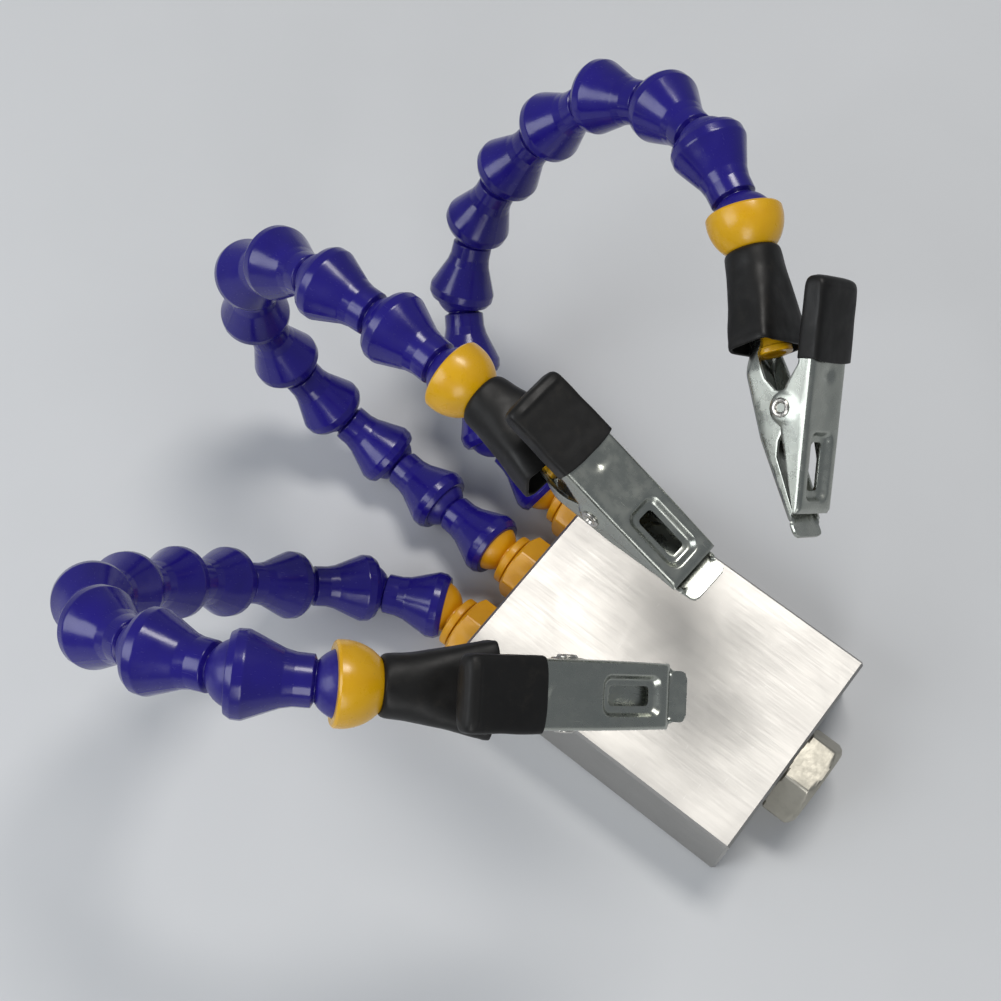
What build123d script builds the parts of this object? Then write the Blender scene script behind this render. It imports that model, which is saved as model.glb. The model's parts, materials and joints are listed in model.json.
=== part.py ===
"""Helping hands clamp: a metal block that carries three ball-jointed hose arms, each with a sprung clip.

Millimetres. The origin is the centre of the block's bottom face, +Z is up, +X points at the end with the
hex bolt, and the arms leave the -X end side by side along Y.
"""
from build123d import *
from math import cos, radians, sin, sqrt
import os

# ---------------------------------------------------------------- base block
BLOCK_LENGTH = 70.0
BLOCK_WIDTH = 52.0
BLOCK_HEIGHT = 20.0
BLOCK_EDGE = 0.6
PORT_PITCH = 19.5
PORT_RADIUS = 4.9
PORT_DEPTH = 10.0
AXIS_HEIGHT = BLOCK_HEIGHT / 2

BOLT_ACROSS_FLATS = 19.0
BOLT_HEAD_LENGTH = 7.5
BOLT_BASE_CHAMFER = 0.5
BOLT_CROWN_LENGTH = 1.6  # the head's top corners are cut back over this length
BOLT_CROWN_DROP = 2.2
BOLT_RADIUS = 5.95
BOLT_LENGTH = 18.0
BOLT_HOLE_RADIUS = 6.0
BOLT_HOLE_DEPTH = 20.0

# ---------------------------------------------------------------- ball joints of the hose
PITCH = 17.0            # from one ball centre to the next
LINKS_PER_ARM = 10
BALL_RADIUS = 6.0
SOCKET_RADIUS = 6.05
LIP_DEPTH = 2.2         # the socket's mouth lies this far behind its centre
NECK_RADIUS = 3.5       # where a ball joins its link
WAIST_RADIUS = 4.5
BULGE_RADIUS = 7.5
MOUTH_RADIUS = 6.6
BORE_RADIUS = 3.0       # the passage through the hose
BALL_FRONT = 4.0        # the ball is cut off flat this far in front of its centre
NECK_BACK = sqrt(BALL_RADIUS**2 - NECK_RADIUS**2)
WAIST_BACK = 6.2
WAIST_LENGTH = 1.6
NECK_LENGTH = 0.6
NECK_FILLET = 0.5
BULGE_X = 0.6           # where a link is widest, in front of its socket's centre
MOUTH_SIDE = (-1.3, 7.25)
SHOULDER = (5.2, 6.1)   # a place on a link's cone
BORE_CHAMFER = 0.5
BORE_START = 8.0
SOCKET_FLOOR_RADIUS = 4.6

# ---------------------------------------------------------------- base fittings
HEX_ACROSS_FLATS = 14.0
HEX_LENGTH = 5.0
FITTING_REACH = 13.0    # from the block's face to the centre of the ball
FLANGE_RADIUS = 6.0
FLANGE_FRONT = 5.6      # from the ball's centre back to the flange
FLANGE_BACK = 7.5
FITTING_WAIST_RADIUS = 4.6
SHANK_RADIUS = 4.85
SHANK_LENGTH = 9.0
SHANK_CHAMFER = 0.8
HEX_CROWN_LENGTH = 0.8
HEX_CROWN_DROP = 1.2
FLANGE_ROUND = 0.5

# ---------------------------------------------------------------- clips
METAL = 0.7             # sheet thickness of the jaws
CLEAR = 12.0            # cuts run this far past what they cut
TOLERANCE = 0.01
FOLD_RADIUS = 0.65
PIVOT_X = 36.6          # clip places are measured from the nozzle's socket centre, along the clip
PIVOT_Z = 2.4           # and across it, from the lower jaw towards the upper jaw
PIN_RADIUS = 1.2
PIN_HOLE_RADIUS = 1.25
PIN_HEAD_RADIUS = 2.1
PIN_HEAD_LENGTH = 0.8
PIN_HEAD_TAPER = 18.0
PIN_PLAY = 0.1

UPPER_TILT = 21.0       # degrees between the upper jaw's plate and the clip's axis
UPPER_WIDTH = 11.6
UPPER_TIP = 18.5        # upper jaw places are measured from the pin, along and across its plate
UPPER_END = -23.0
PLATE_TOP = 5.6
TIP_CHAMFER = 0.6
# The free edge of the upper jaw's sides, from its tip back past the ear round the pin to the handle.
UPPER_EDGE = (
    (UPPER_TIP, 4.4),
    (8.0, 1.5),
    (3.4, -0.6),
    (2.2, -2.3),
    (-2.2, -2.3),
    (-3.6, -1.0),
    (-8.0, 2.5),
    (UPPER_END, 3.0),
)
WINDOW_CENTRE = 10.1
WINDOW_LENGTH = 8.8
WINDOW_WIDTH = 3.4
WINDOW_CORNER = 0.8
TRAY_LENGTH = 13.2      # the pressed recess round the window, at the plate's top
TRAY_WIDTH = 7.7
TRAY_CORNER = 1.8
TRAY_DEPTH = 1.1
TRAY_WALL = 0.6
DIMPLE_X = -6.6
DIMPLE_RADIUS = 1.5
DIMPLE_DEPTH = 0.4
DIMPLE_TAPER = 30.0

LOWER_WIDTH = 9.6
LOWER_BOTTOM = -4.2
LOWER_BEND = PIVOT_X + 4.0  # in front of this the channel's floor rises to the tongue
TAIL_START = 9.0
TAIL_END = 22.6
CHANNEL_START = 22.0
TONGUE_START = 56.6
TONGUE_TIP = 59.7
TONGUE_WIDTH = 8.8
TONGUE_CORNER = 1.2
TONGUE_TOP = -0.9
# The free edge of the lower jaw's sides, from the tongue back past the ear round the pin to the channel.
LOWER_EDGE = (
    (TONGUE_START, TONGUE_TOP),
    (TONGUE_START - 1.0, -0.6),
    (PIVOT_X + 8.0, -1.4),
    (PIVOT_X + 5.2, -0.4),
    (PIVOT_X + 2.6, PIVOT_Z + 1.6),
    (PIVOT_X + 1.4, PIVOT_Z + 2.3),
    (PIVOT_X - 1.4, PIVOT_Z + 2.3),
    (PIVOT_X - 2.6, PIVOT_Z + 1.6),
    (PIVOT_X - 6.4, -0.4),
    (CHANNEL_START, -1.2),
)
TAIL_CLEARANCE = 0.1
TAIL_OPENING = 1.0      # the tail's half tube is open above this height

NOZZLE_TUBE_RADIUS = 3.2
NOZZLE_TUBE_END = 24.6
NOZZLE_RIM_RADIUS = 3.4
NOZZLE_RIM_LENGTH = 1.0
NOZZLE_BORE_RADIUS = 2.1
CUP_RADIUS = 7.25
CUP_FRONT = 6.5
CUP_SIDE = (3.9, 5.9)   # a place on the cup's dome
CUP_EDGE = 0.5

# The lower boot's cross-sections: place along the clip, width, height, corner radius, and how far below
# the clip's axis its middle lies.
LOWER_BOOT_SECTIONS = (
    (6.0, 10.8, 10.2, 4.9, 0.0),
    (17.0, 13.8, 9.8, 3.4, 0.3),
    (24.4, 16.4, 9.4, 3.0, 0.7),
)
LOWER_BOOT_WALL = 0.75
UPPER_BOOT_LENGTH = 15.4
UPPER_BOOT_WIDTH = 12.8
UPPER_BOOT_HEIGHT = 4.8
UPPER_BOOT_CENTRE = 4.25
UPPER_BOOT_WALL = 0.5
UPPER_BOOT_CORNER = 1.6
UPPER_BOOT_END = -23.9  # the closed end, from the pin
UPPER_BOOT_INNER_CORNER = 0.4
UPPER_BOOT_END_FILLET = 1.5

SPRING_RADIUS = 2.3
SPRING_WIRE_RADIUS = 0.4
SPRING_PITCH = 1.05
SPRING_WHOLE_TURNS = 4
LOWER_LEG_SLOPE = 24.0  # degrees between each spring leg and the clip's axis
UPPER_LEG_SLOPE = 34.0
SPRING_LEG_LENGTH = 7.0

# Each arm: its port's place across the block, the direction of each link and of the nozzle as
# (azimuth, elevation) in degrees, and the roll of its clip about the nozzle's axis.
ARMS = {
    "left": {
        "port": -PORT_PITCH,
        "headings": [
            (205, 0), (225, 20), (235, 40), (255, 55), (265, 55), (290, 60),
            (335, 50), (5, 35), (20, 15), (35, -5), (41, -13),
        ],
        "roll": 21,
    },
    "middle": {
        "port": 0.0,
        "headings": [
            (175, -5), (175, 0), (185, 25), (190, 50), (195, 70), (345, 85),
            (0, 55), (355, 30), (0, 5), (355, 5), (357, 0),
        ],
        "roll": 0,
    },
    "right": {
        "port": PORT_PITCH,
        "headings": [
            (175, 15), (150, 20), (135, 30), (110, 50), (65, 65), (40, 60),
            (20, 55), (0, 30), (335, 20), (330, -5), (320, -15),
        ],
        "roll": -42,
    },
}

os.makedirs("parts", exist_ok=True)


def heading_vector(azimuth, elevation):
    """The unit vector with this azimuth from +X and this elevation above the ground."""
    level = cos(radians(elevation))
    return Vector(level * cos(radians(azimuth)), level * sin(radians(azimuth)), sin(radians(elevation)))


def upright_normal(axis):
    """The direction square to an axis that points up as far as it can."""
    up = Vector(0, 0, 1)
    return (up - axis * up.dot(axis)).normalized()


def along(centre, axis):
    """A plane at centre whose X runs along axis and whose Z points as far up as it can."""
    return Plane(origin=centre, x_dir=axis, z_dir=upright_normal(axis))


def arm_joints(arm):
    """The ball centres of an arm, from the base fitting's to the nozzle's."""
    centres = [Vector(-BLOCK_LENGTH / 2 - FITTING_REACH, arm["port"], AXIS_HEIGHT)]
    for azimuth, elevation in arm["headings"][:LINKS_PER_ARM]:
        centres.append(centres[-1] + heading_vector(azimuth, elevation) * PITCH)
    return centres


def turned(frame, direction, angle, origin=None):
    """The same plane turned by an angle about a direction through its origin, and moved if asked."""
    axis = Axis((0, 0, 0), direction)
    return Plane(
        origin=frame.origin if origin is None else origin,
        x_dir=frame.x_dir.rotate(axis, angle),
        z_dir=frame.z_dir.rotate(axis, angle),
    )


def clip_plane(arm):
    """The clip's plane: X along the nozzle, Z from the lower jaw towards the upper one."""
    frame = along(arm_joints(arm)[-1], heading_vector(*arm["headings"][-1]))
    return turned(frame, frame.x_dir, arm["roll"])


def pin_centre(clip):
    """The middle of the pin that the jaws turn on."""
    return clip.origin + clip.x_dir * PIVOT_X + clip.z_dir * PIVOT_Z


def jaw_plane(clip):
    """The upper jaw's plane: at the pin, X along the jaw's plate towards its tip, Z out of the plate."""
    return turned(clip, clip.y_dir, UPPER_TILT, origin=pin_centre(clip))


def side_of(frame):
    """The plane that cuts a frame lengthwise: its X is the frame's X, and its Y the frame's Z."""
    return Plane(origin=frame.origin, x_dir=frame.x_dir, z_dir=-frame.y_dir)


def across(frame, distance):
    """The plane square to a frame's X, this far along it: its X is the frame's Y, its Y the frame's Z."""
    return Plane(origin=frame.origin + frame.x_dir * distance, x_dir=frame.y_dir, z_dir=frame.x_dir)


def finish(piece, name):
    """Name a piece and write it."""
    piece.label = name
    export_step(piece, f"parts/{name}.step")


def build_block():
    """The solid block, with three ports in one end and the bolt's hole in the other."""
    with BuildPart() as block:
        with BuildSketch(Plane.XY):
            Rectangle(BLOCK_LENGTH, BLOCK_WIDTH)
        extrude(amount=BLOCK_HEIGHT)
        chamfer(block.edges(), BLOCK_EDGE)
        port_end = (-BLOCK_LENGTH / 2, 0, AXIS_HEIGHT)
        with BuildSketch(Plane(origin=port_end, x_dir=(0, 1, 0), z_dir=(-1, 0, 0))):
            with GridLocations(PORT_PITCH, 0, len(ARMS), 1):
                Circle(PORT_RADIUS)
        extrude(amount=-PORT_DEPTH, mode=Mode.SUBTRACT)
        with BuildSketch(Plane(origin=(BLOCK_LENGTH / 2, 0, AXIS_HEIGHT), x_dir=(0, 1, 0), z_dir=(1, 0, 0))):
            Circle(BOLT_HOLE_RADIUS)
        extrude(amount=-BOLT_HOLE_DEPTH, mode=Mode.SUBTRACT)
    return block.part


def build_bolt():
    """The hex bolt in the block's +X end, its head's top corners rounded off."""
    seat = Plane(origin=(BLOCK_LENGTH / 2, 0, AXIS_HEIGHT), x_dir=(0, 1, 0), z_dir=(1, 0, 0))
    corner_radius = BOLT_ACROSS_FLATS / sqrt(3)
    with BuildPart() as bolt:
        with BuildSketch(seat):
            RegularPolygon(BOLT_ACROSS_FLATS / 2, 6, major_radius=False)
        extrude(amount=BOLT_HEAD_LENGTH)
        with BuildSketch(Plane(origin=seat.origin, x_dir=(1, 0, 0), z_dir=(0, -1, 0))):
            with BuildLine():
                Polyline(
                    (0, 0),
                    (0, corner_radius - BOLT_BASE_CHAMFER),
                    (BOLT_BASE_CHAMFER, corner_radius),
                    (BOLT_HEAD_LENGTH - BOLT_CROWN_LENGTH, corner_radius),
                    (BOLT_HEAD_LENGTH, corner_radius - BOLT_CROWN_DROP),
                    (BOLT_HEAD_LENGTH, 0),
                    close=True,
                )
            make_face()
        revolve(axis=Axis(seat.origin, (1, 0, 0)), mode=Mode.INTERSECT)
        with BuildSketch(seat):
            Circle(BOLT_RADIUS)
        extrude(amount=-BOLT_LENGTH)
    return bolt.part


def ball_outline(reach):
    """The half outline of a neck and ball, from the neck's start to the ball's flat front."""
    FilletPolyline(
        (reach - WAIST_BACK, WAIST_RADIUS),
        (reach - NECK_BACK - NECK_LENGTH, NECK_RADIUS),
        (reach - NECK_BACK, NECK_RADIUS),
        radius=NECK_FILLET,
    )
    front_radius = sqrt(BALL_RADIUS**2 - BALL_FRONT**2)
    ThreePointArc(
        (reach - NECK_BACK, NECK_RADIUS),
        (reach, BALL_RADIUS),
        (reach + BALL_FRONT, front_radius),
    )
    Polyline(
        (reach + BALL_FRONT, front_radius),
        (reach + BALL_FRONT, BORE_RADIUS + BORE_CHAMFER),
        (reach + BALL_FRONT - BORE_CHAMFER, BORE_RADIUS),
    )


def socket_outline(depth, depth_radius):
    """The half outline of a socket's inside, from a place in front of its centre to its mouth's lip."""
    ThreePointArc(
        (depth, depth_radius),
        (0, SOCKET_RADIUS),
        (-LIP_DEPTH, sqrt(SOCKET_RADIUS**2 - LIP_DEPTH**2)),
    )


def build_fitting(frame):
    """A base fitting: threaded shank, hex, waist, flange, and the first ball."""
    corner_radius = HEX_ACROSS_FLATS / sqrt(3)
    hex_back = FITTING_REACH
    hex_front = FITTING_REACH - HEX_LENGTH
    axis = Axis(frame.origin, frame.x_dir)
    with BuildPart() as fitting:
        with BuildSketch(across(frame, -hex_back)):
            RegularPolygon(HEX_ACROSS_FLATS / 2, 6, major_radius=False, rotation=30)
        extrude(amount=HEX_LENGTH)
        with BuildSketch(side_of(frame)):
            with BuildLine():
                Polyline(
                    (-hex_back, 0),
                    (-hex_back, corner_radius),
                    (-hex_front - HEX_CROWN_LENGTH, corner_radius),
                    (-hex_front, corner_radius - HEX_CROWN_DROP),
                    (-hex_front, 0),
                    close=True,
                )
            make_face()
        revolve(axis=axis, mode=Mode.INTERSECT)
        with BuildSketch(side_of(frame)):
            with BuildLine():
                Polyline(
                    (0, BORE_RADIUS),
                    (-hex_back - SHANK_LENGTH, BORE_RADIUS),
                    (-hex_back - SHANK_LENGTH, SHANK_RADIUS - SHANK_CHAMFER),
                    (-hex_back - SHANK_LENGTH + SHANK_CHAMFER, SHANK_RADIUS),
                    (-hex_back, SHANK_RADIUS),
                    (-hex_front, FITTING_WAIST_RADIUS),
                    (-FLANGE_BACK, FITTING_WAIST_RADIUS),
                    (-FLANGE_BACK, FLANGE_RADIUS - FLANGE_ROUND),
                )
                ThreePointArc(
                    (-FLANGE_BACK, FLANGE_RADIUS - FLANGE_ROUND),
                    ((-FLANGE_BACK - FLANGE_FRONT) / 2, FLANGE_RADIUS),
                    (-FLANGE_FRONT, FLANGE_RADIUS - FLANGE_ROUND),
                )
                front_radius = sqrt(BALL_RADIUS**2 - BALL_FRONT**2)
                Polyline(
                    (-FLANGE_FRONT, FLANGE_RADIUS - FLANGE_ROUND),
                    (-FLANGE_FRONT, NECK_RADIUS),
                    (-NECK_BACK, NECK_RADIUS),
                )
                ThreePointArc(
                    (-NECK_BACK, NECK_RADIUS),
                    (0, BALL_RADIUS),
                    (BALL_FRONT, front_radius),
                )
                Polyline(
                    (BALL_FRONT, front_radius),
                    (BALL_FRONT, BORE_RADIUS),
                    (0, BORE_RADIUS),
                )
            make_face()
        revolve(axis=axis)
        with BuildSketch(across(frame, -hex_back - SHANK_LENGTH)):
            Circle(BORE_RADIUS)
        extrude(amount=SHANK_LENGTH + hex_back + BALL_RADIUS, mode=Mode.SUBTRACT)
    return fitting.part


def build_link(frame):
    """One hose link: a socket at its back, a tapered body, and a ball one pitch further on."""
    lip_radius = sqrt(SOCKET_RADIUS**2 - LIP_DEPTH**2)
    socket_floor = sqrt(SOCKET_RADIUS**2 - SOCKET_FLOOR_RADIUS**2)
    waist_end = PITCH - WAIST_BACK
    with BuildPart() as link:
        with BuildSketch(side_of(frame)):
            with BuildLine():
                Line((-LIP_DEPTH, lip_radius), (-LIP_DEPTH, MOUTH_RADIUS))
                ThreePointArc((-LIP_DEPTH, MOUTH_RADIUS), MOUTH_SIDE, (BULGE_X, BULGE_RADIUS))
                Spline(
                    (BULGE_X, BULGE_RADIUS),
                    SHOULDER,
                    (waist_end - WAIST_LENGTH, WAIST_RADIUS),
                    tangents=((1, 0), (1, 0)),
                )
                Line((waist_end - WAIST_LENGTH, WAIST_RADIUS), (waist_end, WAIST_RADIUS))
                ball_outline(PITCH)
                Polyline(
                    (PITCH + BALL_FRONT - BORE_CHAMFER, BORE_RADIUS),
                    (BORE_START, BORE_RADIUS),
                    (socket_floor, SOCKET_FLOOR_RADIUS),
                )
                socket_outline(socket_floor, SOCKET_FLOOR_RADIUS)
            make_face()
        revolve(axis=Axis(frame.origin, frame.x_dir))
    return link.part


def build_nozzle(frame):
    """The cup that ends the hose, with the tube that the clip is pushed onto and the tube's end rim."""
    lip_radius = sqrt(SOCKET_RADIUS**2 - LIP_DEPTH**2)
    cavity_end = sqrt(SOCKET_RADIUS**2 - NOZZLE_BORE_RADIUS**2)
    with BuildPart() as nozzle:
        with BuildSketch(side_of(frame)):
            with BuildLine():
                Polyline(
                    (-LIP_DEPTH, lip_radius),
                    (-LIP_DEPTH, CUP_RADIUS - CUP_EDGE),
                    (-LIP_DEPTH + CUP_EDGE, CUP_RADIUS),
                )
                ThreePointArc(
                    (-LIP_DEPTH + CUP_EDGE, CUP_RADIUS),
                    CUP_SIDE,
                    (CUP_FRONT, NOZZLE_TUBE_RADIUS),
                )
                Polyline(
                    (CUP_FRONT, NOZZLE_TUBE_RADIUS),
                    (NOZZLE_TUBE_END, NOZZLE_TUBE_RADIUS),
                    (NOZZLE_TUBE_END, NOZZLE_RIM_RADIUS),
                    (NOZZLE_TUBE_END + NOZZLE_RIM_LENGTH, NOZZLE_RIM_RADIUS),
                    (NOZZLE_TUBE_END + NOZZLE_RIM_LENGTH, NOZZLE_BORE_RADIUS),
                    (cavity_end, NOZZLE_BORE_RADIUS),
                )
                socket_outline(cavity_end, NOZZLE_BORE_RADIUS)
            make_face()
        revolve(axis=Axis(frame.origin, frame.x_dir))
    return nozzle.part


def window_sketch_plane(frame, height):
    """The plane of the window's outline at this height above the pin, centred on the window."""
    seat = frame.offset(height)
    seat.origin = seat.origin + frame.x_dir * WINDOW_CENTRE
    return seat


def build_upper_jaw(frame):
    """The upper jaw: a folded channel with ears for the pin, and a window in a pressed recess."""
    side = side_of(frame)
    plate_bottom = PLATE_TOP - METAL
    with BuildPart() as jaw:
        with BuildSketch(side):
            with BuildLine():
                Polyline(
                    (UPPER_END, PLATE_TOP),
                    (UPPER_TIP - TIP_CHAMFER, PLATE_TOP),
                    (UPPER_TIP, PLATE_TOP - TIP_CHAMFER),
                    *UPPER_EDGE,
                    close=True,
                )
            make_face()
        extrude(amount=UPPER_WIDTH / 2, both=True)
        fillet(
            [
                e
                for e in jaw.edges().filter_by(GeomType.LINE)
                if abs((e @ 0.5 - side.origin).dot(frame.z_dir) - PLATE_TOP) < TOLERANCE
                and abs((e % 0.5).dot(frame.x_dir)) > 1 - TOLERANCE
            ],
            FOLD_RADIUS,
        )
        with BuildSketch(side):
            with BuildLine():
                Polyline(
                    (UPPER_END - CLEAR, plate_bottom),
                    (UPPER_TIP - METAL, plate_bottom),
                    (UPPER_TIP - METAL, -CLEAR),
                    (UPPER_END - CLEAR, -CLEAR),
                    close=True,
                )
            make_face()
        extrude(amount=UPPER_WIDTH / 2 - METAL, both=True, mode=Mode.SUBTRACT)
        with BuildSketch(side):
            Circle(PIN_HOLE_RADIUS)
        extrude(amount=UPPER_WIDTH, both=True, mode=Mode.SUBTRACT)
        with BuildSketch(window_sketch_plane(frame, PLATE_TOP - METAL / 2)):
            RectangleRounded(TRAY_LENGTH, TRAY_WIDTH, TRAY_CORNER)
        extrude(amount=METAL / 2 - TRAY_DEPTH - TRAY_WALL)
        with BuildSketch(window_sketch_plane(frame, PLATE_TOP)):
            RectangleRounded(
                TRAY_LENGTH - 2 * TRAY_WALL,
                TRAY_WIDTH - 2 * TRAY_WALL,
                TRAY_CORNER - TRAY_WALL,
            )
        with BuildSketch(window_sketch_plane(frame, PLATE_TOP - TRAY_DEPTH)):
            RectangleRounded(TRAY_LENGTH - 5 * TRAY_WALL, TRAY_WIDTH - 5 * TRAY_WALL, WINDOW_CORNER)
        loft(mode=Mode.SUBTRACT)
        with BuildSketch(window_sketch_plane(frame, PLATE_TOP)):
            RectangleRounded(WINDOW_LENGTH, WINDOW_WIDTH, WINDOW_CORNER)
        extrude(amount=-TRAY_DEPTH - 2 * TRAY_WALL, mode=Mode.SUBTRACT)
        dimple = frame.offset(PLATE_TOP)
        dimple.origin = dimple.origin + frame.x_dir * DIMPLE_X
        with BuildSketch(dimple):
            Circle(DIMPLE_RADIUS)
        extrude(amount=-DIMPLE_DEPTH, taper=DIMPLE_TAPER, mode=Mode.SUBTRACT)
    return jaw.part


def build_lower_jaw(frame):
    """The lower jaw: a folded channel with ears for the pin, a flat tongue, and a tail round the nozzle."""
    side = side_of(frame)
    floor = LOWER_BOTTOM + METAL
    with BuildPart() as jaw:
        with BuildSketch(side):
            with BuildLine():
                Polyline(
                    (CHANNEL_START, LOWER_BOTTOM),
                    (LOWER_BEND, LOWER_BOTTOM),
                    (TONGUE_TIP, TONGUE_TOP - METAL),
                    (TONGUE_TIP, TONGUE_TOP),
                    *LOWER_EDGE,
                    close=True,
                )
            make_face()
        extrude(amount=LOWER_WIDTH / 2, both=True)
        with BuildSketch(side):
            with BuildLine():
                Polyline(
                    (CHANNEL_START - CLEAR, floor),
                    (LOWER_BEND, floor),
                    (TONGUE_START, TONGUE_TOP - 0.2),
                    (TONGUE_START, CLEAR),
                    (CHANNEL_START - CLEAR, CLEAR),
                    close=True,
                )
            make_face()
        extrude(amount=LOWER_WIDTH / 2 - METAL, both=True, mode=Mode.SUBTRACT)
        with BuildSketch(side):
            with Locations((PIVOT_X, PIVOT_Z)):
                Circle(PIN_HOLE_RADIUS)
        extrude(amount=LOWER_WIDTH, both=True, mode=Mode.SUBTRACT)
        tongue = frame.offset(LOWER_BOTTOM)
        tongue.origin = tongue.origin + frame.x_dir * (TONGUE_TIP + TONGUE_START) / 2
        with BuildSketch(tongue):
            Rectangle(TONGUE_TIP - TONGUE_START, 2 * LOWER_WIDTH)
            with Locations((-TONGUE_CORNER, 0)):
                RectangleRounded(
                    TONGUE_TIP - TONGUE_START + 2 * TONGUE_CORNER,
                    TONGUE_WIDTH,
                    TONGUE_CORNER,
                    mode=Mode.SUBTRACT,
                )
        extrude(amount=-2 * LOWER_BOTTOM, mode=Mode.SUBTRACT)
        with BuildSketch(across(frame, TAIL_START)):
            Circle(NOZZLE_TUBE_RADIUS + TAIL_CLEARANCE + METAL)
            Circle(NOZZLE_TUBE_RADIUS + TAIL_CLEARANCE, mode=Mode.SUBTRACT)
            with Locations((0, TAIL_OPENING)):
                Rectangle(CLEAR, CLEAR, align=(Align.CENTER, Align.MIN), mode=Mode.SUBTRACT)
        extrude(amount=TAIL_END - TAIL_START)
    return jaw.part


def build_pin(frame):
    """The rivet that the jaws turn on, a head at each end."""
    seat = Plane(origin=pin_centre(frame), x_dir=frame.x_dir, z_dir=frame.y_dir)
    shank = UPPER_WIDTH / 2 + PIN_PLAY
    with BuildPart() as pin:
        with BuildSketch(seat):
            Circle(PIN_RADIUS)
        extrude(amount=shank, both=True)
        for side in (1, -1):
            with BuildSketch(seat.offset(side * shank)):
                Circle(PIN_HEAD_RADIUS)
            extrude(amount=side * PIN_HEAD_LENGTH, taper=PIN_HEAD_TAPER)
    return pin.part


def build_spring(frame):
    """The torsion spring about the pin: a coil, and a leg that runs back against each jaw."""
    turns = SPRING_WHOLE_TURNS + (180 - LOWER_LEG_SLOPE - UPPER_LEG_SLOPE) / 360
    length = SPRING_PITCH * turns
    with BuildPart() as spring:
        with BuildLine():
            coil = Helix(pitch=SPRING_PITCH, height=length, radius=SPRING_RADIUS)
        with BuildSketch(Plane(origin=coil @ 0, z_dir=coil % 0)):
            Circle(SPRING_WIRE_RADIUS)
        sweep(path=coil)
        for end, direction in ((0, -(coil % 0)), (1, coil % 1)):
            with BuildSketch(Plane(origin=coil @ end, z_dir=direction)):
                Circle(SPRING_WIRE_RADIUS)
            extrude(amount=SPRING_LEG_LENGTH)
    start = Plane(origin=pin_centre(frame), x_dir=frame.x_dir, z_dir=-frame.y_dir)
    seat = turned(start, start.z_dir, LOWER_LEG_SLOPE - 90).offset(-length / 2)
    return seat.location * spring.part


def build_lower_boot(frame):
    """The soft boot over the lower jaw's tail: round at the cup, flared and flattened at its open end."""
    with BuildPart() as boot:
        for shrink, mode in ((0, Mode.ADD), (LOWER_BOOT_WALL, Mode.SUBTRACT)):
            for place, width, height, corner, drop in LOWER_BOOT_SECTIONS:
                with BuildSketch(across(frame, place)):
                    with Locations((0, -drop)):
                        RectangleRounded(width - 2 * shrink, height - 2 * shrink, corner - shrink)
            loft(mode=mode)
    return boot.part


def build_upper_boot(frame):
    """The soft boot over the upper jaw's handle: a flat sleeve with a closed, rounded end."""
    sleeve = frame.offset(UPPER_BOOT_CENTRE)
    sleeve.origin = sleeve.origin + frame.x_dir * UPPER_BOOT_END
    with BuildPart() as boot:
        with BuildSketch(across(sleeve, 0)):
            RectangleRounded(UPPER_BOOT_WIDTH, UPPER_BOOT_HEIGHT, UPPER_BOOT_CORNER)
        extrude(amount=UPPER_BOOT_LENGTH)
        with BuildSketch(across(sleeve, UPPER_BOOT_WALL)):
            RectangleRounded(
                UPPER_BOOT_WIDTH - 2 * UPPER_BOOT_WALL,
                UPPER_BOOT_HEIGHT - 2 * UPPER_BOOT_WALL,
                UPPER_BOOT_INNER_CORNER,
            )
        extrude(amount=UPPER_BOOT_LENGTH, mode=Mode.SUBTRACT)
        closed_end = boot.faces().sort_by(Axis(sleeve.origin, sleeve.x_dir))[0]
        fillet(closed_end.edges(), UPPER_BOOT_END_FILLET)
    return boot.part


def build_arm(side, arm):
    """Build and write every piece of one arm."""
    centres = arm_joints(arm)
    finish(build_fitting(along(centres[0], Vector(-1, 0, 0))), f"{side}_base_fitting")
    for i in range(LINKS_PER_ARM):
        axis = heading_vector(*arm["headings"][i])
        finish(build_link(along(centres[i], axis)), f"{side}_link_{i + 1:02d}")
    clip = clip_plane(arm)
    jaw = jaw_plane(clip)
    finish(build_nozzle(clip), f"{side}_nozzle")
    finish(build_lower_jaw(clip), f"{side}_lower_jaw")
    finish(build_upper_jaw(jaw), f"{side}_upper_jaw")
    finish(build_pin(clip), f"{side}_jaw_pin")
    finish(build_spring(clip), f"{side}_jaw_spring")
    finish(build_lower_boot(clip), f"{side}_lower_boot")
    finish(build_upper_boot(jaw), f"{side}_upper_boot")


finish(build_block(), "base_block")
finish(build_bolt(), "hex_bolt")
for side_name, arm_data in ARMS.items():
    build_arm(side_name, arm_data)
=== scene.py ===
"""Looks of the helping hands clamp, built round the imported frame. Blender objects are in metres.

Local meshes are written in millimetres, in the frame of the piece that they belong to, and scaled by MM
when they are made. The X of a link, a nozzle, a lower jaw or a lower boot runs along the arm from the
centre of its cup. The X of an upper jaw or an upper boot runs along the jaw's plate from the pin, with Z
out of the plate. A fitting's X runs out of its port from the centre of its ball, and the bolt's X runs out
of the block from the block's face.
"""

import json
from math import asin, cos, degrees, exp, pi, radians, sin, sqrt, tan

import bpy
from mathutils import Matrix, Vector, noise


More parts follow.
